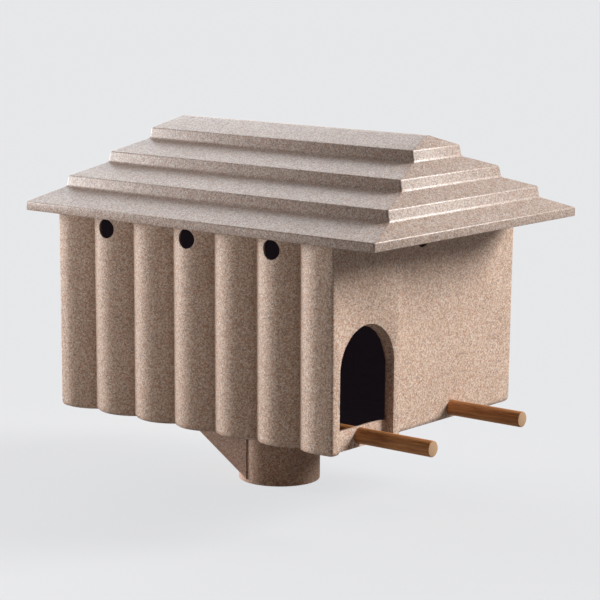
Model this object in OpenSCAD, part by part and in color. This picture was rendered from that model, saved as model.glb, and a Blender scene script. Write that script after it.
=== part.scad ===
// Owl nest box: a moulded plastic box with seven bowed bays down each side, an arched
// doorway in a raised surround, two wooden perches, a stepped hip roof and a pole socket.
// Millimetres, +Z up. The origin is on the socket's axis at its lower rim, and the doorway
// faces -Y. "Left" is -X and "right" is +X, as seen by someone facing +Y at the doorway.

/* [Body] */
// Length of the body, from the doorway surround's face to the back wall's face
body_len = 541; // [420:1:700]
// Width of the body, across the crests of the bowed bays
body_w = 498; // [400:1:620]
// Height of the body, from the underside of the floor to the top of the walls
body_h = 310; // [250:1:420]
// Thickness of the moulded walls, floor and roof
wall = 5; // [3:0.5:7]
// How far the socket's axis lies behind the body's middle
socket_back = 23.5; // [0:0.5:60]

/* [Side bays] */
// Bowed bays along each side wall
bays = 7; // [5:2:7]
// Distance between the grooves that part the bays
bay_pitch = 81.4; // [60:0.2:84]
// How far a bay's crest stands out of the grooves beside it
bay_depth = 18; // [10:1:22]
// How far the flat strip at each corner lies behind the crests
strip_set = 3; // [1:0.5:6]
// Shortest flat strip at a corner
strip_min = 20; // [15:1:30]

/* [Vents] */
// Diameter of a round vent
vent_d = 26; // [12:1:32]
// Distance from the top of the walls down to a vent's centre
vent_drop = 19; // [17:1:60]

/* [Front] */
// Width of the raised doorway surround
surround_w = 166; // [160:1:200]
// How far the surround stands out of the plain panel beside it
surround_proud = 20; // [12:1:30]
// Width of the arched doorway, which has a round top
door_w = 130; // [90:1:134]
// Distance from the body's left corner to the doorway's edge
door_edge = 20; // [14:0.5:24]
// Height of the doorway's crown above the underside of the floor
door_crown = 183.5; // [140:0.5:230]
// How far the sill panel lies behind the surround's face
sill_set = 13; // [8:1:20]
// Height of the sill panel's top above the underside of the floor
sill_top = 33.5; // [31:0.5:80]
// Radius of the sill panel's inner top corner
sill_corner_r = 8; // [2:1:12]

/* [Perches] */
// Diameter of a wooden perch
perch_d = 24; // [16:1:25]
// Clearance around a perch in its hole
perch_gap = 0.2; // [0.1:0.1:0.5]
// Length of the left perch in front of the sill panel
left_perch_out = 137; // [60:1:200]
// Length of the right perch in front of the plain panel
right_perch_out = 131; // [60:1:200]
// Length of a perch inside the box, lying on the floor
perch_in = 110; // [40:1:180]

/* [Roof] */
// Length of the roof over its eaves
roof_len = 680; // [560:1:840]
// Width of the roof over its eaves
roof_w = 525; // [500:1:640]
// How far the roof's middle lies in front of the body's middle
roof_forward = 14.5; // [0:0.5:30]
// Height of the eave's edge
eave_h = 11; // [8:1:20]
// Step in from one course to the next, at the sides
run_side = 67; // [50:0.5:72]
// Step in from one course to the next, at the ends
run_end = 27.5; // [20:0.5:34]
// Height of the upright step at the foot of each course above the eave
riser_h = 17; // [10:1:26]
// Rise of the sloping part of the eave course
eave_rise = 20; // [12:1:26]
// Rise of the sloping part of each other course
course_rise = 18; // [12:1:24]
// Distance from the ends of the ridge to the top course's edges
ridge_run = 13.5; // [8:0.5:24]

/* [Socket] */
// Outer diameter of the pole socket
socket_od = 130; // [110:1:150]
// Bore of the pole socket
socket_id = 118; // [90:1:128]
// Height of the socket under the floor
socket_h = 123; // [80:1:180]
// Length of the sloping brace behind the socket, measured along the floor from the socket's axis
brace_len = 198; // [120:1:230]
// How far behind the socket's axis the brace's cheeks start
brace_start = 15; // [10:1:25]
// Height of the brace's lower end above the socket's rim
brace_lift = 5; // [2:1:30]

/* [Hidden] */
$fn = 96;
eps = 1;
far = 900;
shell_color = [0.62, 0.52, 0.46];
roof_color = [0.70, 0.63, 0.60];
dark_color = [0.45, 0.36, 0.30];
wood_color = [0.50, 0.29, 0.14];

// Levels
floor_z = socket_h;
floor_top = floor_z + wall;
wall_top = floor_z + body_h;
wall_h = wall_top - floor_top;
vent_z = wall_top - vent_drop;

// Body planes
body_mid = -socket_back;
front_y = body_mid - body_len / 2;
back_y = body_mid + body_len / 2;
panel_y = front_y + surround_proud;
sill_y = front_y + sill_set;

// Side walls: each bay is part of a round shell, cut off at the grooves
crest_x = body_w / 2;
strip_x = crest_x - strip_set;
bay_r = (bay_pitch * bay_pitch / 4 + bay_depth * bay_depth) / (2 * bay_depth);
bay_x = crest_x - bay_r;
groove_in = bay_x + sqrt(pow(bay_r - wall, 2) - bay_pitch * bay_pitch / 4);
last_bay = bays - 1;

function bay_mid(i) = body_mid + (i - last_bay / 2) * bay_pitch;
function bay_low(i, low_end) = i == 0 ? low_end : bay_mid(i) - bay_pitch / 2;
function bay_high(i) = i == last_bay ? back_y : bay_mid(i) + bay_pitch / 2;
function has_vent(i) = i % 2 == 1;

// Doorway
door_left = -strip_x + door_edge;
door_right = door_left + door_w;
door_mid = (door_left + door_right) / 2;
door_r = door_w / 2;
spring_z = floor_z + door_crown - door_r;
surround_right = -strip_x + surround_w;
inner_left = -strip_x + wall;
inner_right = strip_x - wall;
panel_mid = (surround_right + strip_x) / 2;

// Perches
perch_r = perch_d / 2;
perch_z = floor_top + perch_r;

// Roof: half-width, half-length and height of each course's upper edge
roof_mid = body_mid - roof_forward;
eave_z = wall_top + eave_h;
courses = 4;
side_names = ["front", "back", "left", "right"];
course_names = ["eave_course", "second_course", "third_course", "ridge_cap"];

function course_side(k) = roof_w / 2 - k * run_side;
function course_end(k) = roof_len / 2 - k * run_end;
function course_top(k) = eave_z + (k == 0 ? 0 : eave_rise + riser_h + (k - 1) * (course_rise + riser_h));
function course_foot(k) = k == 0 ? wall_top : course_top(k) - riser_h;
ridge_half = course_end(courses - 1) - ridge_run;
ridge_z = course_top(courses - 1) + course_rise - 1;

// Height of course k's slope at distance u from the middle, on a side or on an end
function rise_of(k) = k == courses - 1 ? ridge_z - course_top(k) : course_foot(k + 1) - course_top(k);
function side_run(k) = k == courses - 1 ? course_side(k) : run_side;
function end_run(k) = k == courses - 1 ? ridge_run : run_end;
function slope_at(k, edge, run, u) = course_top(k) + (edge - u) * rise_of(k) / run;
function drop_of(k, run) = wall * sqrt(1 + pow(rise_of(k) / run, 2));

// Half of the roof's cross-section: each course gives the foot and the upper edge of its step
side_outline = [for (k = [0:courses - 1]) each [
    [course_side(k), course_foot(k)],
    [course_side(k), course_top(k)]]];
end_outline = [for (k = [0:courses - 1]) each [
    [course_end(k), course_foot(k)],
    [course_end(k), course_top(k)]]];

// The same steps one wall thickness inside
function inner_step(k, edge, run, low) = [
    [edge - wall, low],
    [edge - wall, slope_at(k, edge, run, edge - wall) - drop_of(k, run)]];
side_inner = [for (k = [0:courses - 1]) each inner_step(k, course_side(k), side_run(k),
    k == 0 ? wall_top - eps
           : slope_at(k - 1, course_side(k - 1), side_run(k - 1), course_side(k) - wall)
             - drop_of(k - 1, side_run(k - 1)))];
end_inner = [for (k = [0:courses - 1]) each inner_step(k, course_end(k), end_run(k),
    k == 0 ? wall_top - eps
           : slope_at(k - 1, course_end(k - 1), end_run(k - 1), course_end(k) - wall)
             - drop_of(k - 1, end_run(k - 1)))];
side_peak = [[0, ridge_z]];
end_peak = [[ridge_half, ridge_z]];
side_peak_in = [[0, ridge_z - drop_of(courses - 1, side_run(courses - 1))]];
end_peak_in = [[ridge_half, slope_at(courses - 1, course_end(courses - 1), ridge_run, ridge_half)
    - drop_of(courses - 1, ridge_run)]];

// Socket brace
brace_slope = (floor_z - brace_lift) / (brace_len - brace_start);
brace_drop = wall * sqrt(1 + brace_slope * brace_slope);
brace_x = socket_od / 2;

// A box between two corners
module block(low, high) {
    translate(low) cube(high - low);
}

// A round bar or hole along Y
module bar_y(x, z, r, y0, y1) {
    translate([x, y0, z]) rotate([-90, 0, 0]) cylinder(h = y1 - y0, r = r);
}

// ---- Roof ----

// A half-outline mirrored about the middle, as a prism of the given half-length
module roof_prism(half, peak, half_length) {
    right = concat(half, peak);
    left = [for (i = [len(right) - 1:-1:0]) [-right[i][0], right[i][1]]];
    rotate([90, 0, 0]) linear_extrude(2 * half_length, center = true)
        polygon(concat(right, left));
}

// The stepped hip roof is where the long prism and the cross prism meet
module roof_solid(side_half, side_top, end_half, end_top) {
    intersection() {
        roof_prism(side_half, side_top, far);
        rotate([0, 0, 90]) roof_prism(end_half, end_top, far);
    }
}

module roof_shell() {
    difference() {
        roof_solid(side_outline, side_peak, end_outline, end_peak);
        roof_solid(side_inner, side_peak_in, end_inner, end_peak_in);
    }
}

// Plan of the roof on one side of course k's hips
module hip_sector(k, side) {
    mitre = end_run(k) / side_run(k);
    apex = course_end(k) - course_side(k) * mitre;
    reach = roof_w;
    tip = apex + reach * mitre;
    if (side == "front") polygon([[0, -apex], [-reach, -tip], [reach, -tip]]);
    if (side == "back") polygon([[0, apex], [reach, tip], [-reach, tip]]);
    if (side == "left") polygon([[0, apex], [-reach, tip], [-reach, -tip], [0, -apex]]);
    if (side == "right") polygon([[0, -apex], [reach, -tip], [reach, tip], [0, apex]]);
}

// One side of one course: its upright step and the slope above it
module course_side_piece(k, side) {
    color(roof_color) translate([0, roof_mid, 0]) intersection() {
        roof_shell();
        translate([0, 0, course_foot(k)])
            linear_extrude(course_foot(k + 1) - course_foot(k)) hip_sector(k, side);
    }
}

// Flat underside of the eaves, from the walls' inner faces to the eave's edge
module soffit(side) {
    out_x = roof_w / 2 - wall;
    out_front = roof_mid - roof_len / 2 + wall;
    out_back = roof_mid + roof_len / 2 - wall;
    in_front = panel_y + wall;
    in_back = back_y - wall;
    top = wall_top + wall;
    color(dark_color) {
        if (side == "front") block([-groove_in, out_front, wall_top], [groove_in, in_front, top]);
        if (side == "back") block([-groove_in, in_back, wall_top], [groove_in, out_back, top]);
        if (side == "left") block([-out_x, out_front, wall_top], [-groove_in, out_back, top]);
        if (side == "right") block([groove_in, out_front, wall_top], [out_x, out_back, top]);
    }
}

// ---- Side walls ----

// Plan of one right-hand bay's outer face, moved inwards by inset and filled to the middle
module bay_plan(i, low_end, inset) {
    low = bay_low(i, low_end);
    high = bay_high(i);
    crest = bay_mid(i);
    intersection() {
        translate([0, low]) square([crest_x + eps, high - low]);
        union() {
            translate([bay_x, crest]) circle(r = bay_r - inset);
            translate([0, low]) square([bay_x, high - low]);
            if (i == 0) {
                end = max(crest, low + strip_min);
                translate([0, low]) square([strip_x - inset, end - low]);
            }
            if (i == last_bay) {
                start = min(crest, high - strip_min);
                translate([0, start]) square([strip_x - inset, high - start]);
            }
        }
    }
}

// One bay of a side wall; low_end is where the wall ends at the front
module wall_bay(i, low_end) {
    color(shell_color) difference() {
        translate([0, 0, floor_top]) linear_extrude(wall_h) difference() {
            bay_plan(i, low_end, 0);
            bay_plan(i, low_end, wall);
            translate([-eps, -far]) square([eps + groove_in / 2, 2 * far]);
        }
        if (has_vent(i)) translate([bay_x, bay_mid(i), vent_z]) rotate([0, 90, 0])
            cylinder(h = bay_r + eps, d = vent_d);
    }
}

// ---- Ends ----

module back_wall() {
    color(shell_color) difference() {
        block([inner_left, back_y - wall, floor_top], [inner_right, back_y, wall_top]);
        bar_y(0, vent_z, vent_d / 2, back_y - wall - eps, back_y + eps);
    }
}

// Plain panel beside the surround, with a vent and the right perch's hole
module front_panel() {
    color(shell_color) difference() {
        block([surround_right, panel_y, floor_top], [inner_right, panel_y + wall, wall_top]);
        bar_y(0, vent_z, vent_d / 2, panel_y - eps, panel_y + wall + eps);
        bar_y(panel_mid, perch_z, perch_r + perch_gap, panel_y - eps, panel_y + wall + eps);
    }
}

module surround_left_jamb() {
    color(shell_color)
        block([inner_left, front_y, floor_top], [door_left, sill_y + wall, spring_z]);
}

module surround_right_jamb() {
    color(shell_color)
        block([door_right, front_y, floor_top], [surround_right, panel_y + wall, spring_z]);
}

// Face over the doorway, the arch's lining behind it and the return beside the plain panel
module surround_head() {
    face_back = front_y + wall;
    color(shell_color) {
        difference() {
            union() {
                block([inner_left, front_y, spring_z], [surround_right, face_back, wall_top]);
                block([surround_right - wall, front_y, spring_z],
                      [surround_right, panel_y + wall, wall_top]);
                intersection() {
                    bar_y(door_mid, spring_z, door_r + wall, front_y, sill_y + wall);
                    block([inner_left, front_y, spring_z],
                          [surround_right, sill_y + wall, wall_top]);
                }
            }
            bar_y(door_mid, spring_z, door_r, front_y - eps, panel_y + wall + eps);
        }
    }
}

// Low panel across the foot of the doorway, with the left perch's hole
module door_sill() {
    top = floor_z + sill_top;
    color(shell_color) difference() {
        union() {
            block([door_left, sill_y, floor_top], [door_right, sill_y + wall, top - sill_corner_r]);
            block([door_left, sill_y, floor_top], [door_right - sill_corner_r, sill_y + wall, top]);
            bar_y(door_right - sill_corner_r, top - sill_corner_r, sill_corner_r,
                  sill_y, sill_y + wall);
        }
        bar_y(door_mid, perch_z, perch_r + perch_gap, sill_y - eps, sill_y + wall + eps);
    }
}

module floor_plate() {
    color(shell_color) translate([0, 0, floor_z]) linear_extrude(wall) union() {
        for (i = [0:last_bay]) {
            bay_plan(i, panel_y, 0);
            mirror([1, 0]) bay_plan(i, panel_y, 0);
        }
        translate([-strip_x, front_y]) square([surround_w, surround_proud + eps]);
    }
}

// ---- Perches ----

module perch(x, out_y, in_y) {
    color(wood_color) bar_y(x, perch_z, perch_r, out_y, in_y);
}

// ---- Socket ----

module pole_socket() {
    color(dark_color) difference() {
        cylinder(h = socket_h, d = socket_od);
        translate([0, 0, -eps]) cylinder(h = socket_h + 2 * eps, d = socket_id);
    }
}

// Prism across the socket, from its outline in Y and Z
module brace_prism(outline, half) {
    translate([-half, 0, 0]) rotate([90, 0, 90]) linear_extrude(2 * half) polygon(outline);
}

// Two cheeks and a sloping sole, open at the socket and closed by the floor above
module brace() {
    lip = [brace_start - eps, brace_lift - eps * brace_slope + brace_drop];
    tip = [brace_len + (eps - brace_drop) / brace_slope, floor_z + eps];
    color(dark_color) difference() {
        brace_prism([[brace_start, brace_lift], [brace_len, floor_z], [brace_start, floor_z]],
            brace_x);
        brace_prism([lip, tip, [brace_start - eps, floor_z + eps]], brace_x - wall);
        translate([0, 0, -eps]) cylinder(h = socket_h + 2 * eps, d = socket_od);
    }
}

for (k = [0:len(course_names) - 1], s = side_names)
    course_side_piece(k, s);
for (s = side_names)
    soffit(s);
for (i = [0:last_bay]) {
    mirror([1, 0, 0]) wall_bay(i, front_y);
    wall_bay(i, panel_y);
}
back_wall();
front_panel();
surround_left_jamb();
surround_right_jamb();
surround_head();
door_sill();
floor_plate();  // floor
perch(door_mid, sill_y - left_perch_out, sill_y + wall + perch_in);  // perch_left
perch(panel_mid, panel_y - right_perch_out, panel_y + wall + perch_in);  // perch_right
pole_socket();
brace();
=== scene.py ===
import math

import bmesh
import bpy
from bpy.props import FloatProperty, FloatVectorProperty, IntProperty, PointerProperty
from mathutils import Matrix, Vector


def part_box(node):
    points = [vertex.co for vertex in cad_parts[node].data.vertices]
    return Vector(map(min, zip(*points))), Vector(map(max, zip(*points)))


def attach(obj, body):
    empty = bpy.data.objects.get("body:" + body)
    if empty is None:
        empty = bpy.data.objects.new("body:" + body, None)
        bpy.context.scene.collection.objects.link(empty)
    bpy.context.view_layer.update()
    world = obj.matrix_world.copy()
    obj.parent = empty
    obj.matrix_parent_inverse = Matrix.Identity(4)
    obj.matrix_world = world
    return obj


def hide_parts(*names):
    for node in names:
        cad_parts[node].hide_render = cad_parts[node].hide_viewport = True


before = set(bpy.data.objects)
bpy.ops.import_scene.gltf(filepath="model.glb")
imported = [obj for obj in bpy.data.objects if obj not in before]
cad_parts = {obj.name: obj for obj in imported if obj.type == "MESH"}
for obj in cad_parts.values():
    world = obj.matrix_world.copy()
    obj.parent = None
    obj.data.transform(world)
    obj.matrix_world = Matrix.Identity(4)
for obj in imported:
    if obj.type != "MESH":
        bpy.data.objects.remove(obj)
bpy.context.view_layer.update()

bl_info = {
    "name": "Owl nest box",
    "version": (1, 0, 0),
    "blender": (4, 5, 0),
    "location": "3D View > Sidebar > Nest box",
    "description": "Moulded plastic owl nest box with a stepped hip roof, bowed side bays, "
                   "an arched doorway, two dowel perches and a pole socket",
    "category": "Add Mesh",
}

TINY = 1e-6  # closer than this is the same place
JOIN = 1e-5  # ends of an outline that meet
NEAR = 0.0006  # how near a rim's edge lies to its true circle or line
SHARP = math.radians(32)  # edges steeper than this stay crisp
EAVE_EDGE = 0.011  # height of the eave's upright edge
RIDGE_RUN = 0.0135  # from the cap's foot to the ridge, seen from the side
BAY_SHIFT = 0.0045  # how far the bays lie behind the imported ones
FLOOR_HALF = 60.0  # half the studio floor's side
COURSES = ("eave_course", "second_course", "third_course", "ridge_cap")


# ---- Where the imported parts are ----

def span(*names):
    """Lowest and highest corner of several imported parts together."""
    boxes = [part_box(n) for n in names]
    low = Vector([min(b[0][a] for b in boxes) for a in range(3)])
    high = Vector([max(b[1][a] for b in boxes) for a in range(3)])
    return low, high


def parts_named(*starts):
    """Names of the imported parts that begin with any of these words."""
    return sorted(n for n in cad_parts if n.startswith(starts))


ROOF_PARTS = parts_named(*COURSES, "soffit")
BODY_PARTS = parts_named("left_wall", "right_wall", "back_wall", "front_panel", "surround",
                         "door_sill", "floor")
COURSE_SPANS = [span(*parts_named(c)) for c in COURSES]
BAY_COUNT = len(parts_named("left_wall_bay"))
BAY_SPANS = [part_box("left_wall_bay_%d" % (i + 1)) for i in range(BAY_COUNT)]
EAVE = COURSE_SPANS[0]
RIDGE_TOP = COURSE_SPANS[-1][1].z
ROOF_MID = (EAVE[0].y + EAVE[1].y) / 2
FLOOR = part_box("floor")
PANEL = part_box("front_panel")
SURROUND = span(*parts_named("surround"))
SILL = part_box("door_sill")
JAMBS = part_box("surround_left_jamb"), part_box("surround_right_jamb")
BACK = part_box("back_wall")
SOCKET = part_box("pole_socket")
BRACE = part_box("brace")
WALL_TOP = PANEL[1].z
CREST = BAY_SPANS[1][0].x
PITCH = BAY_SPANS[1][1].y - BAY_SPANS[1][0].y
BAY_MIDS = [BAY_SPANS[1][0].y + (i - 0.5) * PITCH + BAY_SHIFT for i in range(BAY_COUNT)]
DOOR_MID = (JAMBS[0][1].x + JAMBS[1][0].x) / 2
DOOR_HALF = (JAMBS[1][0].x - JAMBS[0][1].x) / 2
SPRING = JAMBS[0][1].z


def length(name, text, default, low=0.0, high=1.0):
    """A length that a user may change."""
    return FloatProperty(name=name, description=text, default=default, min=low, max=high,
                         unit="LENGTH", subtype="DISTANCE", precision=4)


def colour(name, text, default):
    """A colour that a user may change, given as linear red, green and blue."""
    return FloatVectorProperty(name=name, description=text, default=default, size=3,
                               subtype="COLOR", min=0.0, max=1.0)


# ---- Sizes and colours ----

class NestRoofSizes(bpy.types.PropertyGroup):
    riser: length("Riser", "Height of the step at the foot of each course", 0.017)
    nose_round: length("Nose rounding", "Rounding along the top of each step", 0.0020)
    cove_round: length("Cove rounding", "Hollow along the foot of each step", 0.0036)
    edge_round: length("Edge rounding", "Rounding under the eave's edge", 0.0014)
    hip_round: length("Hip rounding", "Rounding of the hips in plan", 0.0032)
    end_draft: length("End draft", "How far the foot of an end step stands out of its top", 0.0037)
    side_draft: length("Side draft", "How far the foot of a side step stands out", 0.0008)
    lip: length("Drip lip", "How far the eave's edge hangs below the soffit", 0.0026)


class NestBodySizes(bpy.types.PropertyGroup):
    wall: length("Wall", "Thickness of the moulded wall", 0.005)
    bay_depth: length("Bay depth", "How far a bay's crest stands out of its grooves", 0.018)
    strip_set: length("Corner strip", "How far the corner strips lie behind the crests", 0.003)
    flat_from: FloatProperty(name="Flat from", default=3.0, min=0.0, max=30.0,
                             description="Degrees past the crest where an end bay goes flat")
    panel_strip: length("Panel strip", "Flat strip behind the plain panel's corner", 0.014)
    foot_round: length("Foot rounding", "Height of the rounding round the bottom edge", 0.008)
    foot_run: length("Foot run", "How much narrower the rounding makes the foot", 0.0165)
    foot_trim: length("Foot trim", "How much shorter the rounding makes the foot", 0.011)
    corner_round: length("Corner rounding", "Rounding of the upright corners", 0.0032)
    step_round: length("Step rounding", "Rounding of the surround's free edge", 0.0014)
    taper: length("Taper", "How far each side draws in towards the bottom", 0.003)
    vent_width: length("Vent", "Diameter of a round vent", 0.027)
    vent_drop: length("Vent drop", "From the top of the walls down to a vent's centre", 0.019)
    rim_round: length("Rim rounding", "Rounding of the rims of vents and doorway", 0.0009)
    bay_steps: IntProperty(name="Bay facets", description="Facets round one bay",
                           default=30, min=8, max=64)


class NestDoorSizes(bpy.types.PropertyGroup):
    sill_corner: length("Sill corner", "Radius of the sill's inner top corner", 0.008)
    sill_drop: length("Sill drop", "How far the cut goes below the sill's top", 0.0030)
    flare: length("Flare", "How much wider the hole is on the inside, each side", 0.0060)
    lip: length("Lip", "How far the cut hole stays inside the arch above it", 0.0035)
    lip_cuts: IntProperty(name="Saw cuts", description="Straight cuts round the hole's arch",
                          default=11, min=6, max=40)


class NestPerchSizes(bpy.types.PropertyGroup):
    end_round: length("End rounding", "Rounding of a dowel's ends", 0.0013)
    trim: length("Trim", "How much shorter the left dowel is cut", 0.0055)
    gap: length("Hole gap", "Clearance round a dowel in the wall", 0.0004)


class NestSocketSizes(bpy.types.PropertyGroup):
    bore: length("Bore", "Bore of the pole socket", 0.118)
    rim_round: length("Rim rounding", "Rounding of the socket's lower rim", 0.0016)
    edge_round: length("Edge rounding", "Rounding of the brace's edges", 0.0022)


class NestFinishes(bpy.types.PropertyGroup):
    body: colour("Body", "Main grain of the moulded plastic", (0.470, 0.310, 0.222))
    cream: colour("Cream grain", "Pale grains", (0.800, 0.690, 0.600))
    rust: colour("Rust grain", "Orange-brown grains", (0.400, 0.150, 0.058))
    slate: colour("Slate grain", "Dark blue-grey grains", (0.100, 0.095, 0.105))
    # Painted shade: the plastic darkened for the unlit faces inside the box.
    inside: colour("Inside", "Unlit plastic inside the box", (0.160, 0.120, 0.130))
    grain: length("Grain", "Width of one grain", 0.0020)
    wood: colour("Wood", "Dowel's long side", (0.600, 0.270, 0.100))
    wood_dark: colour("Dark wood", "Dowel's darker grain lines", (0.350, 0.130, 0.042))
    wood_end: colour("End grain", "Sawn end of a dowel", (0.500, 0.320, 0.190))


class NestStage(bpy.types.PropertyGroup):
    backdrop: colour("Backdrop", "Pale background", (0.763, 0.771, 0.786))
    floor_grey: FloatProperty(name="Floor grey", description="How much light the floor returns",
                              default=0.24, min=0.0, max=1.0)
    shadow_share: FloatProperty(name="Shadow share", default=0.12, min=0.0, max=1.0,
                                description="How much of the floor's shadow shows")
    camera_place: FloatVectorProperty(name="Camera", description="Where the camera stands",
                                      default=(-2.7155, -2.1999, 0.8920), size=3,
                                      subtype="TRANSLATION", unit="LENGTH")
    yaw: FloatProperty(name="Yaw", description="Camera's turn from +Y towards +X",
                       default=math.radians(51.490), unit="ROTATION", subtype="ANGLE")
    pitch: FloatProperty(name="Pitch", description="Camera's tilt below level",
                         default=math.radians(9.805), unit="ROTATION", subtype="ANGLE")
    roll: FloatProperty(name="Roll", description="Camera's turn about its own axis",
                        default=math.radians(0.513), unit="ROTATION", subtype="ANGLE")
    focal: FloatProperty(name="Lens", description="Focal length on a 36 mm sensor",
                         default=134.37, min=20.0, max=400.0)
    ambient: FloatProperty(name="Ambient", description="Strength of the light from all round",
                           default=0.080, min=0.0, max=2.0)


# ---- Making meshes ----

def add_object(name, bm):
    """An object in the scene that holds a finished bmesh."""
    mesh = bpy.data.meshes.new(name)
    bm.to_mesh(mesh)
    bm.free()
    made = bpy.data.objects.new(name, mesh)
    bpy.context.scene.collection.objects.link(made)
    return made


def finish_piece(name, bm, materials, stands_for):
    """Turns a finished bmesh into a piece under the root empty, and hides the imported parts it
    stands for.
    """
    for face in bm.faces:
        face.smooth = True
    for edge in bm.edges:
        edge.smooth = len(edge.link_faces) == 2 and edge.calc_face_angle(0.0) < SHARP
    piece = add_object(name, bm)
    for material in materials:
        piece.data.materials.append(material)
    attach(piece, "root")
    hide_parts(*stands_for)
    return piece


def with_modifiers(work):
    """The mesh that an object's modifiers make, as a new bmesh. The object is removed."""
    bpy.context.view_layer.update()
    made = bmesh.new()
    made.from_object(work, bpy.context.evaluated_depsgraph_get())
    mesh = work.data
    bpy.data.objects.remove(work)
    bpy.data.meshes.remove(mesh)
    return made


def combine(bm, other, operation):
    """bm joined with other, or cut by it."""
    work, tool = add_object("working", bm), add_object("cutting", other)
    step = work.modifiers.new("combine", "BOOLEAN")
    step.operation = operation
    step.solver = "EXACT"
    step.object = tool
    made = with_modifiers(work)
    mesh = tool.data
    bpy.data.objects.remove(tool)
    bpy.data.meshes.remove(mesh)
    return made


def round_edges(bm, edges, width, segments):
    bmesh.ops.bevel(bm, geom=list(edges), offset=width, offset_type="OFFSET",
                    segments=segments, profile=0.5, affect="EDGES", material=-1,
                    clamp_overlap=False, loop_slide=True)


def round_profile(bm, corners, width, segments):
    bmesh.ops.bevel(bm, geom=corners, offset=width, segments=segments, profile=0.5,
                    affect="VERTICES", material=-1, offset_type="OFFSET")


def lathe(bm, centre, axis, steps):
    """Spins a profile right round an axis into a solid."""
    bmesh.ops.spin(bm, geom=list(bm.verts) + list(bm.edges), cent=centre, axis=axis,
                   angle=2 * math.pi, steps=steps, use_merge=True, use_duplicate=False)
    bmesh.ops.remove_doubles(bm, verts=bm.verts, dist=JOIN)
    bmesh.ops.recalc_face_normals(bm, faces=bm.faces)


def add_arc(bm, centre, radius, first, sweep, steps):
    """A chain of edges round a point in the XY plane."""
    start = bmesh.ops.create_vert(bm, co=centre + radius * Vector(
        (math.cos(first), math.sin(first), 0.0)))["vert"]
    bmesh.ops.spin(bm, geom=start, cent=centre, axis=(0, 0, 1), angle=sweep, steps=steps,
                   use_merge=False, use_duplicate=False)
    return start[0]


def add_line(bm, points):
    """Straight edges from point to point."""
    made = [bmesh.ops.create_vert(bm, co=p)["vert"][0] for p in points]
    for a, b in zip(made, made[1:]):
        bmesh.ops.contextual_create(bm, geom=[a, b])
    return made


def add_block(bm, low, high):
    """A box between two corners. Returns its new corners."""
    low, high = Vector(low), Vector(high)
    made = bmesh.ops.create_cube(bm, size=1.0)["verts"]
    bmesh.ops.scale(bm, vec=high - low, verts=made)
    bmesh.ops.translate(bm, vec=(low + high) / 2, verts=made)
    return made


def add_bar(bm, start, along, reach, radius, segments=48, flare=0.0):
    """A round bar from start, along one axis, wider by flare where it starts."""
    turn = Vector((0, 0, 1)).rotation_difference(Vector(along)).to_matrix().to_4x4()
    place = Matrix.Translation(Vector(start) + Vector(along) * reach / 2) @ turn
    return bmesh.ops.create_cone(bm, cap_ends=True, segments=segments,
                                 radius1=radius + flare, radius2=radius, depth=reach,
                                 matrix=place)["verts"]


def pull(bm, faces, vector):
    """Extrudes faces by a vector. Returns the new corners."""
    made = bmesh.ops.extrude_face_region(bm, geom=list(faces))["geom"]
    corners = [v for v in made if isinstance(v, bmesh.types.BMVert)]
    bmesh.ops.translate(bm, vec=vector, verts=corners)
    return corners


# ---- Roof ----

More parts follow.
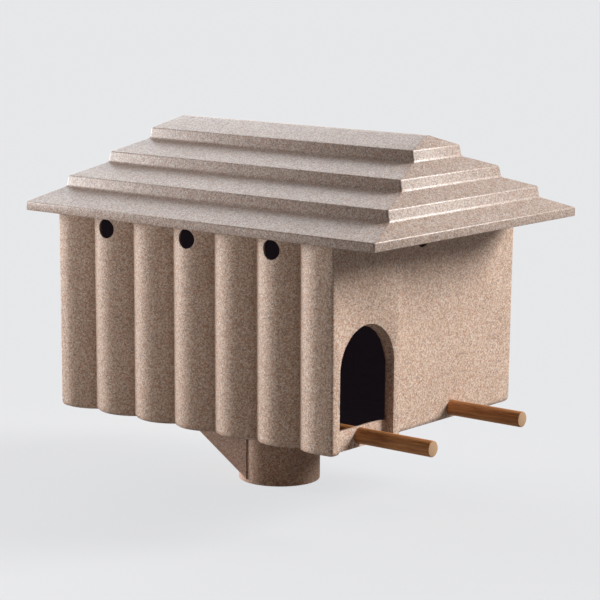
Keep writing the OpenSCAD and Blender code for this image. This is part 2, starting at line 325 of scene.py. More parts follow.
def make_roof(sizes, materials):
    """One moulding: stepped hip roof, eave and soffit, hollow inside."""
    wall = FLOOR[1].z - FLOOR[0].z
    hip = sizes.hip_round
    per_corner = 5
    bm = bmesh.new()

    # The first ring is a circle parted into four corners, so each later ring is those
    # corners moved as they are, and the hips keep one rounding all the way up.
    trim = hip / math.cos(math.pi / 4 / per_corner)
    ring = bmesh.ops.create_circle(bm, segments=4 * per_corner, radius=trim,
                                   matrix=Matrix.Rotation(math.pi / 4 / per_corner, 4, "Z"))
    corners = {}
    for v in ring["verts"]:
        corners.setdefault((v.co.x > 0, v.co.y > 0), []).append(v)

    def place(groups, before, after):
        for (right, back), verts in groups.items():
            was = corner_of(before, right, back)
            now = corner_of(after, right, back)
            bmesh.ops.translate(bm, vec=now - was, verts=verts)

    def corner_of(level, right, back):
        if level is None:
            return Vector((0, 0, 0))
        half, front_y, back_y, z = level
        return Vector(((half - hip) * (1 if right else -1),
                       back_y - hip if back else front_y + hip, z))

    def sweep(groups, before, levels):
        """Extrudes a ring through levels of half-width, front, back and height."""
        for after in levels:
            edges = ring_edges(groups)
            made = bmesh.ops.extrude_edge_only(bm, edges=edges)["geom"]
            fresh = [v for v in made if isinstance(v, bmesh.types.BMVert)]
            place_of = {(round(v.co.x, 7), round(v.co.y, 7)): v for v in fresh}
            groups = {key: [place_of[(round(v.co.x, 7), round(v.co.y, 7))] for v in verts]
                      for key, verts in groups.items()}
            place(groups, before, after)
            rings.append((after, ring_edges(groups)))
            before = after
        return groups

    def ring_edges(groups):
        members = {v for verts in groups.values() for v in verts}
        return [e for e in {e for v in members for e in v.link_edges}
                if e.verts[0] in members and e.verts[1] in members]

    def end_level(half, half_end, z):
        return half, ROOF_MID - half_end, ROOF_MID + half_end, z

    halves = [box[1].x for box in COURSE_SPANS]
    ends = [(box[1].y - box[0].y) / 2 for box in COURSE_SPANS]
    feet = [box[0].z for box in COURSE_SPANS]
    tops = [EAVE[0].z + EAVE_EDGE] + [z + sizes.riser for z in feet[1:]]
    ridge_end = ends[-1] - RIDGE_RUN
    slope = (RIDGE_TOP - tops[-1]) / halves[-1]

    rings = []
    bottom = end_level(halves[0], ends[0], feet[0] - sizes.lip)
    place(corners, None, bottom)
    rings.append((bottom, ring_edges(corners)))
    outer = [end_level(halves[0], ends[0], tops[0])]
    for half, end, foot, top in list(zip(halves, ends, feet, tops))[1:]:
        outer.append(end_level(half + sizes.side_draft, end + sizes.end_draft, foot))
        outer.append(end_level(half, end, top))
    outer.append(end_level(2 * hip, ridge_end, RIDGE_TOP - slope * 2 * hip * 0.6))
    first_ring = dict(corners)
    last = sweep(corners, bottom, outer)
    ridge = bmesh.ops.contextual_create(bm, geom=ring_edges(last))["faces"]
    ridge_in = bmesh.ops.inset_region(bm, faces=ridge, thickness=hip * 0.8, depth=0.0)
    bmesh.ops.translate(bm, vec=(0, 0, RIDGE_TOP - ridge[0].verts[0].co.z),
                        verts=list({v for f in ridge for v in f.verts}))
    outer_rings = list(rings)

    # Underneath: the soffit in to the walls, then back out and up inside the steps
    inner_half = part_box("soffit_right")[0].x
    inner_front, inner_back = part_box("soffit_front")[1].y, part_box("soffit_back")[0].y
    lift = wall * 0.75
    inner = [end_level(halves[0] - wall * 0.7, ends[0] - wall * 0.7, feet[0] - sizes.lip),
             end_level(halves[0] - wall * 0.8, ends[0] - wall * 0.8, feet[0]),
             (inner_half, inner_front, inner_back, feet[0]),
             (inner_half, inner_front, inner_back, feet[0] + wall),
             end_level(halves[0] - wall, ends[0] - wall, feet[0] + wall),
             end_level(halves[0] - wall, ends[0] - wall, tops[0] - lift)]
    for half, end, foot, top in list(zip(halves, ends, feet, tops))[1:]:
        inner.append(end_level(half - wall, end - wall, foot - lift))
        inner.append(end_level(half - wall, end - wall, top - lift))
    inner.append(end_level(2 * hip, ridge_end, RIDGE_TOP - wall * 1.1))
    last = sweep(first_ring, bottom, inner)
    bmesh.ops.contextual_create(bm, geom=ring_edges(last))

    # Rounded noses, hollow coves, rounded eave edge
    for number, (level, edges) in enumerate(outer_rings):
        live = [e for e in edges if e.is_valid]
        if number == 0:
            round_edges(bm, live, sizes.edge_round, 3)
        elif number == len(outer_rings) - 1:
            continue
        elif number % 2:
            round_edges(bm, live, sizes.nose_round, 5)
        else:
            round_edges(bm, live, sizes.cove_round, 4)
    bmesh.ops.recalc_face_normals(bm, faces=bm.faces)
    bmesh.ops.dissolve_degenerate(bm, dist=TINY, edges=bm.edges)
    # Faces facing down inside the hollow roof take the second material, which is painted shade.
    inside = EAVE[0].z + wall * 0.5
    for face in bm.faces:
        middle = face.calc_center_median()
        face.material_index = int(middle.z > inside and face.normal.z < -0.3)
    return finish_piece("roof", bm, materials, ROOF_PARTS)


# ---- Body ----

def body_outline(bm, sizes):
    """The body's plan: seven bays a side, flat back, plain panel and raised surround."""
    depth = sizes.bay_depth
    radius = (PITCH * PITCH / 4 + depth * depth) / (2 * depth)
    centre_x = -CREST - radius
    strip = -CREST - sizes.strip_set
    full = math.asin(PITCH / 2 / radius)
    to_strip = math.radians(sizes.flat_from)
    from_panel = math.asin((PANEL[0].y + sizes.panel_strip - BAY_MIDS[0]) / radius)
    last = BAY_COUNT - 1
    for i, mid in enumerate(BAY_MIDS):
        after = to_strip if i == last else full
        left_before = to_strip if i == 0 else full
        right_first = from_panel if i == 0 else -full
        add_arc(bm, Vector((-centre_x, mid, 0)), radius, math.pi - after,
                after + left_before, sizes.bay_steps)
        add_arc(bm, Vector((centre_x, mid, 0)), radius, right_first,
                after - right_first, sizes.bay_steps)
    reach, edge_x = radius * math.sin(to_strip), centre_x + radius * math.cos(to_strip)
    front_y, panel_y, back_y = SURROUND[0].y, PANEL[0].y, BACK[1].y
    right_x = centre_x + radius * math.cos(from_panel)
    step_x = SURROUND[1].x
    add_line(bm, [Vector(p) for p in (
        (-edge_x, BAY_MIDS[0] - reach, 0), (-strip, front_y, 0), (step_x, front_y, 0),
        (step_x, panel_y, 0), (right_x, panel_y, 0), (right_x, panel_y + sizes.panel_strip, 0))])
    add_line(bm, [Vector(p) for p in (
        (edge_x, BAY_MIDS[last] + reach, 0), (strip, back_y, 0), (-strip, back_y, 0),
        (-edge_x, BAY_MIDS[last] + reach, 0))])
    bmesh.ops.remove_doubles(bm, verts=bm.verts, dist=JOIN)
    return [(-strip, front_y), (step_x, front_y), (step_x, panel_y), (right_x, panel_y),
            (strip, back_y), (-strip, back_y)]


def body_solid(sizes, inset, foot_z, top_z):
    """The body's plan, drawn in by inset, pulled down and rounded round its foot and corners."""
    bm = bmesh.new()
    corners = body_outline(bm, sizes)
    plan = bmesh.ops.contextual_create(bm, geom=list(bm.edges))["faces"]
    marked = [min(bm.verts, key=lambda v: math.hypot(v.co.x - x, v.co.y - y))
              for x, y in corners]
    if inset:
        rim = bmesh.ops.inset_region(bm, faces=plan, thickness=inset, use_even_offset=True,
                                     use_boundary=True)
        kept = set(plan[0].verts)
        marked = [next(e.other_vert(v) for e in v.link_edges if e.other_vert(v) in kept)
                  for v in marked]
        bmesh.ops.delete(bm, geom=rim["faces"], context="FACES")
    bmesh.ops.translate(bm, vec=(0, 0, top_z), verts=bm.verts)

    # Down the draft to the foot's rounding, then round it, ring by ring
    steps = 5
    share = 1.0 - inset / sizes.foot_round
    levels = [(1.0 - 2 * sizes.taper / (-2 * CREST), 1.0, foot_z + sizes.foot_round * share)]
    for step in range(1, steps + 1):
        angle = step * math.pi / 2 / steps
        drawn = share * (1 - math.cos(angle))
        levels.append((levels[0][0] - drawn * sizes.foot_run / (-2 * CREST),
                       1.0 - drawn * sizes.foot_trim / (BACK[1].y - SURROUND[0].y),
                       foot_z + sizes.foot_round * share * (1 - math.sin(angle))))
    wide, long, high = 1.0, 1.0, top_z
    pivot = SURROUND[1].x, (SURROUND[0].y + BACK[1].y) / 2
    face = plan
    for to_wide, to_long, z in levels:
        made = bmesh.ops.extrude_face_region(bm, geom=face)["geom"]
        if face is not plan:
            bmesh.ops.delete(bm, geom=face, context="FACES_ONLY")
        face = [f for f in made if isinstance(f, bmesh.types.BMFace)]
        verts = [v for v in made if isinstance(v, bmesh.types.BMVert)]
        bmesh.ops.translate(bm, vec=(0, 0, z - high), verts=verts)
        middle = (0.0 if to_long == 1.0 else pivot[0], pivot[1], z)
        bmesh.ops.scale(bm, vec=(to_wide / wide, to_long / long, 1), verts=verts,
                        space=Matrix.Translation([-c for c in middle]))
        wide, long, high = to_wide, to_long, z
    for corner, width in ((marked[1:3], sizes.step_round), (marked[:1] + marked[3:],
                                                            sizes.corner_round)):
        upright = [e for v in corner for e in edges_down(v)]
        round_edges(bm, upright, max(width - inset / 2, 0.0008), 4)
    bmesh.ops.recalc_face_normals(bm, faces=bm.faces)
    return bm


def edges_down(vert):
    """The edges met in going down from a corner, ring by ring."""
    found = []
    while True:
        lower = [e for e in vert.link_edges if e.other_vert(vert).co.z < vert.co.z - TINY]
        if not lower:
            return found
        found.append(lower[0])
        vert = lower[0].other_vert(vert)


def body_shell(sizes):
    """The open-topped moulding, with a real wall."""
    outer = body_solid(sizes, 0.0, FLOOR[0].z, WALL_TOP)
    inner = body_solid(sizes, sizes.wall, FLOOR[0].z + sizes.wall, WALL_TOP + 0.010)
    return combine(outer, inner, "DIFFERENCE")


def stand_up(bm, origin, reach):
    """Turns a flat outline upright at origin and pulls it along Y into a solid."""
    bmesh.ops.remove_doubles(bm, verts=bm.verts, dist=JOIN)
    bmesh.ops.rotate(bm, cent=(0, 0, 0), matrix=Matrix.Rotation(math.pi / 2, 3, "X"),
                     verts=bm.verts)
    bmesh.ops.translate(bm, vec=origin, verts=bm.verts)
    face = bmesh.ops.contextual_create(bm, geom=list(bm.edges))["faces"]
    pull(bm, face, (0, reach, 0))
    bmesh.ops.recalc_face_normals(bm, faces=bm.faces)
    return bm


def arch_prism(half, foot_z, spring_z, y0, y1, steps):
    """A round-topped prism along Y, about the doorway's middle."""
    bm = bmesh.new()
    add_arc(bm, Vector((0, 0, 0)), half, 0.0, math.pi, steps)
    add_line(bm, [Vector((-half, 0, 0)), Vector((-half, foot_z - spring_z, 0)),
                  Vector((half, foot_z - spring_z, 0)), Vector((half, 0, 0))])
    return stand_up(bm, (DOOR_MID, y0, spring_z), y1 - y0)


def doorway_block(sizes):
    """Solid plastic round the doorway, inside the moulding's own rounded skin."""
    bm = bmesh.new()
    skin = 0.0018
    left = SURROUND[0].x + 0.0008 - sizes.wall + sizes.taper
    add_block(bm, (left, SURROUND[0].y + skin, FLOOR[0].z + skin),
              (SURROUND[1].x - 0.0025, SILL[1].y, SPRING + DOOR_HALF + sizes.wall + 0.001))
    round_edges(bm, bm.edges, sizes.foot_round - 0.001, 4)
    return bm


def corner_notch(door):
    """What is cut away outside the rounded top corner of the sill."""
    bm = bmesh.new()
    r, top, right = door.sill_corner, SILL[1].z - door.sill_drop, JAMBS[1][0].x
    over, side = 0.004, 0.0002
    centre = Vector((right - r, top - r, 0))
    add_arc(bm, centre, r, 0.0, math.pi / 2, 8)
    add_line(bm, [centre + Vector(p) for p in (
        (0, r, 0), (0, r + over, 0), (r + side, r + over, 0), (r + side, 0, 0), (r, 0, 0))])
    return stand_up(bm, (0, SILL[0].y - over, 0), 5 * over)


def vents_and_perch_holes(sizes, perches):
    """Round cutters for every vent, and for the dowels."""
    bm = bmesh.new()
    z, r = WALL_TOP - sizes.vent_drop, sizes.vent_width / 2
    behind, reach, flare = 0.010, 0.014, 0.004
    starts = [((side * (-CREST - behind), BAY_MIDS[i], z), (side, 0, 0))
              for i in range(1, BAY_COUNT, 2) for side in (-1, 1)]
    starts += [((0, PANEL[0].y + behind, z), (0, -1, 0)), ((0, BACK[1].y - behind, z), (0, 1, 0))]
    for start, along in starts:
        add_bar(bm, start, along, reach, r, flare=flare)
    for name, wall_y in (("perch_left", SILL[0].y), ("perch_right", PANEL[0].y)):
        low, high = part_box(name)
        add_bar(bm, ((low.x + high.x) / 2, wall_y - 0.012, (low.z + high.z) / 2), (0, 1, 0),
                0.035, (high.x - low.x) / 2 + perches.gap)
    bmesh.ops.recalc_face_normals(bm, faces=bm.faces)
    return bm


def make_body(sizes, door, perches, materials):
    """Walls, floor, surround and sill as one moulding."""
    bm = combine(body_shell(sizes), doorway_block(sizes), "UNION")
    front, sill = SURROUND[0].y, SILL[0].y
    recess = arch_prism(DOOR_HALF, FLOOR[0].z - 0.010, SPRING, front - 0.010, sill, 40)
    bm = combine(bm, recess, "DIFFERENCE")
    hole = arch_prism(DOOR_HALF - 0.0004, SILL[1].z - door.sill_drop, SPRING, sill - 0.001,
                      SILL[1].y + 0.006, door.lip_cuts)
    over = [v for v in hole.verts if v.co.z > SPRING + 0.004]
    squeeze = 1.0 - door.lip / DOOR_HALF
    bmesh.ops.scale(hole, vec=(squeeze, 1, squeeze), verts=over,
                    space=Matrix.Translation((-DOOR_MID, 0, -SPRING)))
    widen = 1.0 + door.flare / DOOR_HALF
    bmesh.ops.scale(hole, vec=(widen, 1, 1), verts=[v for v in hole.verts if v.co.y > sill],
                    space=Matrix.Translation((-DOOR_MID, 0, 0)))
    bm = combine(bm, hole, "DIFFERENCE")
    bm = combine(bm, corner_notch(door), "DIFFERENCE")
    bm = combine(bm, vents_and_perch_holes(sizes, perches), "DIFFERENCE")
    bmesh.ops.remove_doubles(bm, verts=bm.verts, dist=2 * TINY)
    bmesh.ops.dissolve_degenerate(bm, dist=2 * TINY, edges=bm.edges)
    drop_pockets(bm)
    round_rims(bm, sizes)
    # Faces lining the chamber take the second material, which is painted shade.
    for face in bm.faces:
        face.material_index = int(is_inside(face, sizes))
    return finish_piece("body", bm, materials, BODY_PARTS)


def drop_pockets(bm):
    """Removes small closed pockets that are sealed inside the plastic."""
    left, shells = set(bm.verts), []
    while left:
        shell, reached = [], [left.pop()]
        while reached:
            vert = reached.pop()
            shell.append(vert)
            for edge in vert.link_edges:
                other = edge.other_vert(vert)
                if other in left:
                    left.discard(other)
                    reached.append(other)
        shells.append(shell)
    shells.sort(key=len)
    bmesh.ops.delete(bm, geom=[v for shell in shells[:-1] for v in shell], context="VERTS")


def round_rims(bm, sizes):
    """Softens the edges where holes meet the outer skin."""
    z, r = WALL_TOP - sizes.vent_drop, sizes.vent_width / 2
    rims = []
    for edge in bm.edges:
        if len(edge.link_faces) != 2 or edge.calc_face_angle(0.0) < math.radians(40):
            continue
        a, b = (v.co for v in edge.verts)
        mid = (a + b) / 2
        on_side = abs(mid.x) > -CREST - 0.004 and any(
            abs(math.hypot(mid.y - y, mid.z - z) - r) < NEAR for y in BAY_MIDS[1::2])
        on_end = min(abs(mid.y - PANEL[0].y), abs(mid.y - BACK[1].y)) < 1e-4 and \
            abs(math.hypot(mid.x, mid.z - z) - r) < NEAR
        over = mid.z - SPRING
        arch = abs(math.hypot(mid.x - DOOR_MID, over) - DOOR_HALF) < NEAR if over > 0 else \
            abs(abs(mid.x - DOOR_MID) - DOOR_HALF) < NEAR
        on_door = abs(mid.y - SURROUND[0].y) < 1e-4 and arch
        on_door = on_door or (abs(mid.y - SILL[0].y) < 1e-4 and abs(a.z - b.z) < 1e-5
                              and abs(mid.x - DOOR_MID) < DOOR_HALF - 0.006
                              and SILL[0].z + 0.020 < mid.z < SILL[1].z + 0.001)
        if on_side or on_end or on_door:
            rims.append(edge)
    round_edges(bm, rims, sizes.rim_round, 2)


def is_inside(face, sizes):
    """True for the faces that line the chamber."""
    c, n = face.calc_center_median(), face.normal
    if c.z < FLOOR[0].z + sizes.wall * 0.6 or c.z > WALL_TOP - TINY:
        return False
    towards = (Vector((0, (SURROUND[0].y + BACK[1].y) / 2, c.z)) - c)
    if abs(c.x) > 0.215 and abs(n.x) > 0.3:
        return n.x * towards.x > 0 and abs(c.x) < -CREST - sizes.wall * 0.6
    if c.z < FLOOR[1].z + 0.006 and n.z > 0.5:
        return c.y > SILL[1].y - 0.001
    if c.y > BACK[1].y - sizes.wall * 1.4 and n.y < -0.5:
        return True
    return n.y > 0.5 and c.y < 0 and c.y > SILL[1].y - 0.004


# ---- Perches ----

def make_perch(name, sizes, materials):
    """A round dowel with softened, sawn ends."""
    low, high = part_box(name)
    low.y += sizes.trim if name.endswith("left") else 0.0
    r = (high.x - low.x) / 2
    axis = Vector(((low.x + high.x) / 2, 0, (low.z + high.z) / 2))
    bm = bmesh.new()
    profile = [(0, low.y), (r, low.y), (r, high.y), (0, high.y)]
    verts = add_line(bm, [axis + Vector((x, y, 0)) for x, y in profile])
    round_profile(bm, verts[1:3], sizes.end_round, 3)
    lathe(bm, axis, (0, 1, 0), 48)
    for face in bm.faces:
        face.material_index = int(abs(face.normal.y) > 0.8)
    return finish_piece(name + "_dowel", bm, materials, [name])


# ---- Socket ----

def make_socket(sizes, materials):
    """The round pole socket, with a softened lower rim."""
    outer, bore, top = SOCKET[1].x, sizes.bore / 2, SOCKET[1].z
    bm = bmesh.new()
    verts = add_line(bm, [Vector(p) for p in (
        (bore, 0, top), (bore, 0, 0), (outer, 0, 0), (outer, 0, top))])
    round_profile(bm, verts[1:3], sizes.rim_round, 4)
    bmesh.ops.contextual_create(bm, geom=[verts[0], verts[3]])
    lathe(bm, (0, 0, 0), (0, 0, 1), 96)
    return finish_piece("socket_tube", bm, materials, ["pole_socket"])


def wedge(half, points):
    """A three-cornered prism across the box."""
    bm = bmesh.new()
    verts = add_line(bm, [Vector((-half, y, z)) for y, z in points])
    bmesh.ops.contextual_create(bm, geom=[verts[0], verts[-1]])
    face = bmesh.ops.contextual_create(bm, geom=list(bm.edges))["faces"]
    pull(bm, face, (2 * half, 0, 0))
    bmesh.ops.recalc_face_normals(bm, faces=bm.faces)
    return bm


def make_brace(sizes, materials):
    """The sloping brace behind the socket: two cheeks and a sole, hollow between."""
    wall = FLOOR[1].z - FLOOR[0].z
    half, top = BRACE[1].x, BRACE[1].z
    start, end, low = BRACE[0].y, BRACE[1].y, BRACE[0].z
    rise = (top - low) / (end - start)
    drop = wall * math.hypot(1.0, rise)
    bm = wedge(half, [(start, low), (end, top), (start, top)])
    edges = [e for e in bm.edges if not all(abs(v.co.z - top) < TINY for v in e.verts)
             and not all(abs(v.co.y - start) < TINY for v in e.verts)]
    round_edges(bm, edges, sizes.edge_round, 4)
    inner = wedge(half - wall, [(start - 0.01, low - 0.01 * rise + drop),
                                (end - drop / rise + 0.004 / rise, top + 0.004),
                                (start - 0.01, top + 0.004)])
    bm = combine(bm, inner, "DIFFERENCE")
    pole = bmesh.new()
    add_bar(pole, (0, 0, -0.01), (0, 0, 1), top + 0.02, half - wall * 0.5, 96)
    bm = combine(bm, pole, "DIFFERENCE")
    return finish_piece("socket_brace", bm, materials, ["brace"])


# ---- Finishes ----

# Painted light: the roof is the same plastic as the walls, made darker and cooler to stand in for
# the cool sheen of the sky on its slopes.
ROOF_PAINTED_LIGHT_TINT, ROOF_ROUGHNESS = (0.76, 0.81, 0.88), 0.40
# Painted shade: the socket is the same plastic, darkened and warmed where the body above shades
# it.
SOCKET_PAINTED_SHADE = (0.94, 0.84, 0.79)
# Painted shade: the brace is the same plastic, darkened further because it lies in deep shade
# under the body.
BRACE_PAINTED_SHADE = (0.62, 0.51, 0.46)
# Painted light: a faint glow on the dark inner faces, though nothing there is a lamp.
INSIDE_PAINTED_GLOW = (0.0052, 0.0038, 0.0050)


class Nodes:
    """Small helper that adds and joins shader nodes."""

    def __init__(self, tree):
        self.tree = tree

    def add(self, kind, inputs=None, **settings):
        node = self.tree.nodes.new(kind)
        for key, value in settings.items():
            setattr(node, key, value)
        for key, value in (inputs or {}).items():
            self.put(node.inputs[key], value)
        return node

    def put(self, socket, value):
        """Sets a socket to a plain value, or joins another node's output to it."""
        if isinstance(value, bpy.types.NodeSocket):
            self.tree.links.new(value, socket)
        else:
            socket.default_value = value

    def ramp(self, factor, stops, interpolation="LINEAR"):
        node = self.add("ShaderNodeValToRGB", {"Fac": factor})
        node.color_ramp.interpolation = interpolation
        elements = node.color_ramp.elements
        for i, (place, value) in enumerate(stops):
            e = elements[i] if i < 2 else elements.new(place)
            e.position = place
            e.color = (*value, 1.0)
        return node.outputs["Color"]

    def mix(self, factor, a, b, blend="MIX"):
        node = self.add("ShaderNodeMix", data_type="RGBA", blend_type=blend,
                        clamp_factor=True)
        self.put(node.inputs[0], factor)
        for socket, value in ((node.inputs[6], a), (node.inputs[7], b)):
            self.put(socket, (*value, 1.0) if isinstance(value, tuple) else value)
        return node.outputs[2]

    def either(self, factor, a, b):
        """Mixes two shaders."""
        node = self.add("ShaderNodeMixShader", {"Fac": factor})
        self.put(node.inputs[1], a)
        self.put(node.inputs[2], b)
        return node.outputs[0]

    def math(self, operation, a, b=0.0):
        node = self.add("ShaderNodeMath", operation=operation)
        for socket, value in zip(node.inputs, (a, b)):
            self.put(socket, value)
        return node.outputs[0]


def new_material(name):
    material = bpy.data.materials.new(name)
    material.use_nodes = True
    material.node_tree.nodes.clear()
    return material, Nodes(material.node_tree)


def close_material(n, shader):
    n.add("ShaderNodeOutputMaterial", {"Surface": shader})


def surface(n, base, rough, level, more):
    """Ends a material in one skin."""
    skin = n.add("ShaderNodeBsdfPrincipled", {
        "Base Color": base, "Roughness": rough, "Specular IOR Level": level, **more})
    close_material(n, skin.outputs["BSDF"])


def speckled_plastic(name, finish, painted_light_tint=None, roughness=0.62):
    """Matt moulded plastic full of fine cream, rust and slate grains."""
    material, n = new_material(name)
    place = n.add("ShaderNodeTexCoord").outputs["Object"]
    scale = 1.0 / finish.grain
    fine = n.add("ShaderNodeTexVoronoi", {"Vector": place, "Scale": scale, "Randomness": 1.0})
    pick = n.add("ShaderNodeSeparateColor", {"Color": fine.outputs["Color"]})
    mid = tuple((b + c) / 2 for b, c in zip(finish.body, finish.cream))
    grains = n.ramp(pick.outputs[0], [
        (0.0, tuple(finish.slate)), (0.13, tuple(finish.rust)), (0.28, tuple(finish.body)),
        (0.58, mid), (0.80, tuple(finish.cream))], "CONSTANT")
    small = n.add("ShaderNodeTexVoronoi", {"Vector": place, "Scale": scale * 1.9,
                                           "Randomness": 1.0})
    pick_small = n.add("ShaderNodeSeparateColor", {"Color": small.outputs["Color"]})
    dust = n.ramp(pick_small.outputs[1], [
        (0.0, tuple(0.72 * c for c in finish.body)), (0.5, tuple(finish.body)),
        (1.0, tuple(finish.cream))])
    dust_share = 0.58
    speckle = n.mix(dust_share, grains, dust)
    cloud = n.add("ShaderNodeTexNoise", {"Vector": place, "Scale": 14.0, "Detail": 3.0,
                                         "Roughness": 0.6})
    patch = n.ramp(cloud.outputs["Fac"], [(0.30, (0.93, 0.92, 0.91)), (0.70, (1.0, 1.0, 1.0))])
    coloured = n.mix(1.0, speckle, patch, "MULTIPLY")
    # Painted light: a darker or cooler copy of the plastic for one piece, standing in for shade or
    # sheen.
    if painted_light_tint:
        coloured = n.mix(1.0, coloured, painted_light_tint, "MULTIPLY")
    rough = n.add("ShaderNodeMapRange", {"Value": pick.outputs[1], "To Min": roughness - 0.07,
                                         "To Max": roughness + 0.09})
    peel = n.add("ShaderNodeTexNoise", {"Vector": place, "Scale": 420.0, "Detail": 2.0,
                                        "Roughness": 0.5})
    height = n.math("ADD", peel.outputs["Fac"], n.math("MULTIPLY", fine.outputs["Distance"], 0.4))
    bump = n.add("ShaderNodeBump", {"Height": height, "Strength": 0.22, "Distance": 0.0009})
    surface(n, coloured, rough.outputs["Result"], 0.5, {"Normal": bump.outputs["Normal"]})
    return material


def dark_inside_painted_shade(name, finish):
    """Painted shade for the unlit inner faces: a darker copy of the plastic, with a faint painted
    glow.
    """
    material, n = new_material(name)
    place = n.add("ShaderNodeTexCoord").outputs["Object"]
    mottle = n.add("ShaderNodeTexNoise", {"Vector": place, "Scale": 60.0, "Detail": 4.0})
    tone = n.ramp(mottle.outputs["Fac"], [
        (0.3, tuple(0.8 * c for c in finish.inside)), (0.7, tuple(finish.inside))])
    # The inner faces glow faintly: painted light.
    surface(n, tone, 0.8, 0.2, {"Emission Color": (*INSIDE_PAINTED_GLOW, 1.0), "Emission Strength": 1.0})
    return material


def dowel_wood(name, finish, axis):
    """Stained dowel with long fine grain lines about its own axis."""
    material, n = new_material(name)
    place = n.add("ShaderNodeTexCoord").outputs["Object"]
    centred = n.add("ShaderNodeMapping", {"Vector": place,
                                          "Location": (-axis[0], 0.0, -axis[1])})
    stretched = n.add("ShaderNodeMapping", {"Vector": centred.outputs["Vector"],
                                            "Scale": (1.0, 0.035, 1.0)})
    lines = n.add("ShaderNodeTexNoise", {"Vector": stretched.outputs["Vector"],
                                         "Scale": 900.0, "Detail": 4.0, "Roughness": 0.65})
    broad = n.add("ShaderNodeTexNoise", {"Vector": stretched.outputs["Vector"],
                                         "Scale": 170.0, "Detail": 2.0, "Distortion": 0.6})
    streak = n.ramp(lines.outputs["Fac"], [
        (0.34, tuple(finish.wood_dark)), (0.52, tuple(finish.wood)),
        (0.75, tuple(min(1.0, c * 1.35) for c in finish.wood))])
    band = n.ramp(broad.outputs["Fac"], [(0.38, (0.70, 0.66, 0.60)), (0.62, (1.0, 1.0, 1.0))])
    coloured = n.mix(1.0, streak, band, "MULTIPLY")
    bump = n.add("ShaderNodeBump", {"Height": lines.outputs["Fac"], "Strength": 0.25,
                                    "Distance": 0.0004})
    rough = n.add("ShaderNodeMapRange", {"Value": lines.outputs["Fac"], "To Min": 0.62,
                                         "To Max": 0.48})
    surface(n, coloured, rough.outputs["Result"], 0.35, {"Normal": bump.outputs["Normal"]})
    return material


def dowel_end(name, finish, axis):
    """Sawn end grain: growth rings crossed by diagonal saw lines."""
    material, n = new_material(name)
    place = n.add("ShaderNodeTexCoord").outputs["Object"]
    centred = n.add("ShaderNodeMapping", {"Vector": place, "Rotation": (0.0, 0.9, 0.0),
                                          "Location": (-axis[0], 0.0, -axis[1])})
    offset = n.add("ShaderNodeMapping", {"Vector": place, "Scale": (1.0, 0.0, 1.0),
                                         "Location": (-axis[0] + 0.021, 0.0,
                                                      -axis[1] + 0.012)})
    rings = n.add("ShaderNodeTexWave", {"Vector": offset.outputs["Vector"], "Scale": 95.0,
                                        "Distortion": 1.2, "Detail": 2.0}, wave_type="RINGS",
                  rings_direction="Y")
    saw = n.add("ShaderNodeTexWave", {"Vector": centred.outputs["Vector"], "Scale": 150.0,
                                      "Distortion": 2.5, "Detail": 2.0}, bands_direction="X")
    tone = n.ramp(rings.outputs["Fac"], [
        (0.2, tuple(0.80 * c for c in finish.wood_end)), (0.7, tuple(finish.wood_end))])
    scored = n.mix(n.math("MULTIPLY", saw.outputs["Fac"], 0.45), tone,
                   tuple(0.55 * c for c in finish.wood_end))
    bump = n.add("ShaderNodeBump", {"Height": saw.outputs["Fac"], "Strength": 0.3,
                                    "Distance": 0.0004})
    surface(n, scored, 0.75, 0.25, {"Normal": bump.outputs["Normal"]})
    return material


# ---- Stage ----

SUNS = (  # name, towards the lamp, strength, width in degrees, colour
    ("front_right_light", (0.70, -0.60, 0.50), 5.20, 26.0, (1.00, 0.975, 0.945)),
    ("back_left_light", (-0.15, 0.97, 0.10), 6.00, 24.0, (1.00, 0.985, 0.98)),
)
AMBIENT_TINT = (1.0, 0.74, 0.58)
FILL = (-1.00, 0.30, 0.36), 6.4, 0.20, (1.00, 0.93, 0.87)  # place, watts, radius, colour
GLOWS = (  # towards the middle of the glow, strength, how tight it is, colour
    ((0.55, 0.62, 0.46), 3.10, 9.0, (0.90, 0.95, 1.00)),
    ((0.15, 0.97, 0.02), 1.60, 10.0, (0.97, 0.985, 1.00)),
)


def make_floor(stage):
    bm = bmesh.new()
    bmesh.ops.create_grid(bm, x_segments=8, y_segments=8, size=FLOOR_HALF)
    floor = add_object("studio_floor", bm)
    material, n = new_material("studio_floor_paint")
    rays = n.add("ShaderNodeLightPath").outputs["Is Camera Ray"]
    shown = n.add("ShaderNodeEmission", {"Color": (*stage.backdrop, 1.0), "Strength": 1.0})
    caught = n.add("ShaderNodeBsdfDiffuse", {"Color": (*stage.backdrop, 1.0)})
    bounced = n.add("ShaderNodeBsdfDiffuse", {"Color": (*[stage.floor_grey] * 3, 1.0)})
    seen = n.either(stage.shadow_share, shown.outputs[0], caught.outputs[0])
    close_material(n, n.either(rays, bounced.outputs[0], seen))
    floor.data.materials.append(material)


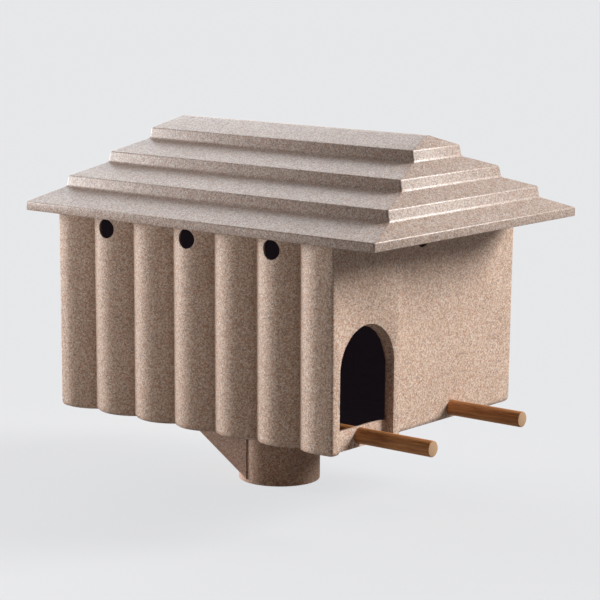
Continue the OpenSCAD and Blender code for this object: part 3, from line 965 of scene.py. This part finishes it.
def make_surroundings(stage):
    """Soft light from all round, with broad glows behind the box, and a pale backdrop."""
    world = bpy.data.worlds.new("studio")
    bpy.context.scene.world = world
    world.use_nodes = True
    world.node_tree.nodes.clear()
    n = Nodes(world.node_tree)
    way = n.add("ShaderNodeTexCoord").outputs["Generated"]
    light = n.add("ShaderNodeBackground", {"Color": (*AMBIENT_TINT, 1.0),
                                           "Strength": stage.ambient}).outputs[0]
    for towards, strength, tight, tint in GLOWS:
        facing = n.add("ShaderNodeVectorMath", operation="DOT_PRODUCT")
        n.put(facing.inputs[0], way)
        n.put(facing.inputs[1], Vector(towards).normalized())
        share = n.math("POWER", n.math("MAXIMUM", facing.outputs["Value"], 0.0), tight)
        glow = n.add("ShaderNodeBackground", {"Color": (*tint, 1.0),
                                              "Strength": n.math("MULTIPLY", share, strength)})
        both = n.add("ShaderNodeAddShader")
        n.put(both.inputs[0], light)
        n.put(both.inputs[1], glow.outputs[0])
        light = both.outputs[0]
    rays = n.add("ShaderNodeLightPath").outputs["Is Camera Ray"]
    shown = n.add("ShaderNodeBackground", {"Color": (*stage.backdrop, 1.0), "Strength": 1.0})
    n.add("ShaderNodeOutputWorld", {"Surface": n.either(rays, light, shown.outputs[0])})


def add_lamp(name, kind, strength, tint):
    lamp = bpy.data.lights.new(name, kind)
    lamp.energy = strength
    lamp.color = tint
    holder = bpy.data.objects.new(name, lamp)
    bpy.context.scene.collection.objects.link(holder)
    return lamp, holder


def make_lamps():
    for name, towards, strength, width, tint in SUNS:
        lamp, holder = add_lamp(name, "SUN", strength, tint)
        lamp.angle = math.radians(width)
        holder.rotation_mode = "QUATERNION"
        holder.rotation_quaternion = Vector(towards).to_track_quat("Z", "Y")
    place, watts, radius, tint = FILL
    lamp, holder = add_lamp("side_fill", "POINT", watts, tint)
    lamp.shadow_soft_size = radius
    holder.location = place
    holder.visible_camera = False


def make_camera(stage):
    level = Vector((math.sin(stage.yaw), math.cos(stage.yaw), 0.0))
    side = Vector((math.cos(stage.yaw), -math.sin(stage.yaw), 0.0))
    up_axis = Vector((0, 0, 1))
    ahead = math.cos(stage.pitch) * level - math.sin(stage.pitch) * up_axis
    over = math.sin(stage.pitch) * level + math.cos(stage.pitch) * up_axis
    right = math.cos(stage.roll) * side + math.sin(stage.roll) * over
    up = math.cos(stage.roll) * over - math.sin(stage.roll) * side
    turn = Matrix((right, up, -ahead)).transposed().to_4x4()
    data = bpy.data.cameras.new("camera")
    data.lens = stage.focal
    data.sensor_width = 36.0
    data.clip_start, data.clip_end = 0.05, 400.0
    camera = bpy.data.objects.new("camera", data)
    camera.matrix_world = Matrix.Translation(Vector(stage.camera_place)) @ turn
    bpy.context.scene.collection.objects.link(camera)
    bpy.context.scene.camera = camera


# ---- Operators ----

class NEST_OT_roof(bpy.types.Operator):
    """Make the stepped hip roof with its soffit"""
    bl_idname = "nest.roof"
    bl_label = "Roof"

    def execute(self, context):
        finish = context.scene.nest_finishes
        make_roof(context.scene.nest_roof, [
            speckled_plastic("roof_speckle_painted_light", finish, ROOF_PAINTED_LIGHT_TINT, ROOF_ROUGHNESS),
            dark_inside_painted_shade("roof_inner_painted_shade", finish)])
        return {"FINISHED"}


class NEST_OT_body(bpy.types.Operator):
    """Make the walls, floor, doorway surround and sill"""
    bl_idname = "nest.body"
    bl_label = "Body"

    def execute(self, context):
        scene = context.scene
        finish = scene.nest_finishes
        make_body(scene.nest_body, scene.nest_door, scene.nest_perch, [
            speckled_plastic("wall_speckle", finish),
            dark_inside_painted_shade("wall_inner_painted_shade", finish)])
        return {"FINISHED"}


class NEST_OT_socket(bpy.types.Operator):
    """Make the pole socket and the brace behind it"""
    bl_idname = "nest.socket"
    bl_label = "Socket and brace"

    def execute(self, context):
        sizes = context.scene.nest_socket
        finish = context.scene.nest_finishes
        # The socket's copy of the plastic is darkened: painted shade.
        make_socket(sizes, [speckled_plastic("socket_speckle_painted_shade", finish, SOCKET_PAINTED_SHADE)])
        # The brace's copy of the plastic is darkened: painted shade.
        make_brace(sizes, [speckled_plastic("brace_speckle_painted_shade", finish, BRACE_PAINTED_SHADE)])
        return {"FINISHED"}


class NEST_OT_perches(bpy.types.Operator):
    """Make the two wooden perches"""
    bl_idname = "nest.perches"
    bl_label = "Perches"

    def execute(self, context):
        scene = context.scene
        for name in ("perch_left", "perch_right"):
            low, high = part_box(name)
            axis = ((low.x + high.x) / 2, (low.z + high.z) / 2)
            make_perch(name, scene.nest_perch, [
                dowel_wood(name + "_side", scene.nest_finishes, axis),
                dowel_end(name + "_end", scene.nest_finishes, axis)])
        return {"FINISHED"}


class NEST_OT_stage(bpy.types.Operator):
    """Set out the floor, the lamps and the camera"""
    bl_idname = "nest.stage"
    bl_label = "Stage"

    def execute(self, context):
        stage = context.scene.nest_stage
        context.scene.view_settings.view_transform = "Standard"
        make_floor(stage)
        make_surroundings(stage)
        make_lamps()
        make_camera(stage)
        return {"FINISHED"}


GROUPS = (("nest_roof", NestRoofSizes), ("nest_body", NestBodySizes),
          ("nest_door", NestDoorSizes), ("nest_perch", NestPerchSizes),
          ("nest_socket", NestSocketSizes), ("nest_finishes", NestFinishes),
          ("nest_stage", NestStage))
OPERATORS = (NEST_OT_stage, NEST_OT_roof, NEST_OT_body, NEST_OT_socket, NEST_OT_perches)


class NEST_PT_panel(bpy.types.Panel):
    """Sizes, colours and makers of the nest box"""
    bl_idname = "NEST_PT_panel"
    bl_label = "Nest box"
    bl_space_type = "VIEW_3D"
    bl_region_type = "UI"
    bl_category = "Nest box"

    def draw(self, context):
        for name, group in GROUPS:
            box = self.layout.box()
            for prop in group.__annotations__:
                box.prop(getattr(context.scene, name), prop)
        for operator in OPERATORS:
            self.layout.operator(operator.bl_idname)


def register():
    for name, group in GROUPS:
        bpy.utils.register_class(group)
        setattr(bpy.types.Scene, name, PointerProperty(type=group))
    for made in (*OPERATORS, NEST_PT_panel):
        bpy.utils.register_class(made)


def unregister():
    for made in (NEST_PT_panel, *reversed(OPERATORS)):
        bpy.utils.unregister_class(made)
    for name, group in reversed(GROUPS):
        delattr(bpy.types.Scene, name)
        bpy.utils.unregister_class(group)


def main():
    register()
    bpy.ops.nest.stage()
    bpy.ops.nest.roof()
    bpy.ops.nest.body()
    bpy.ops.nest.socket()
    bpy.ops.nest.perches()


if __name__ == "__main__":
    main()
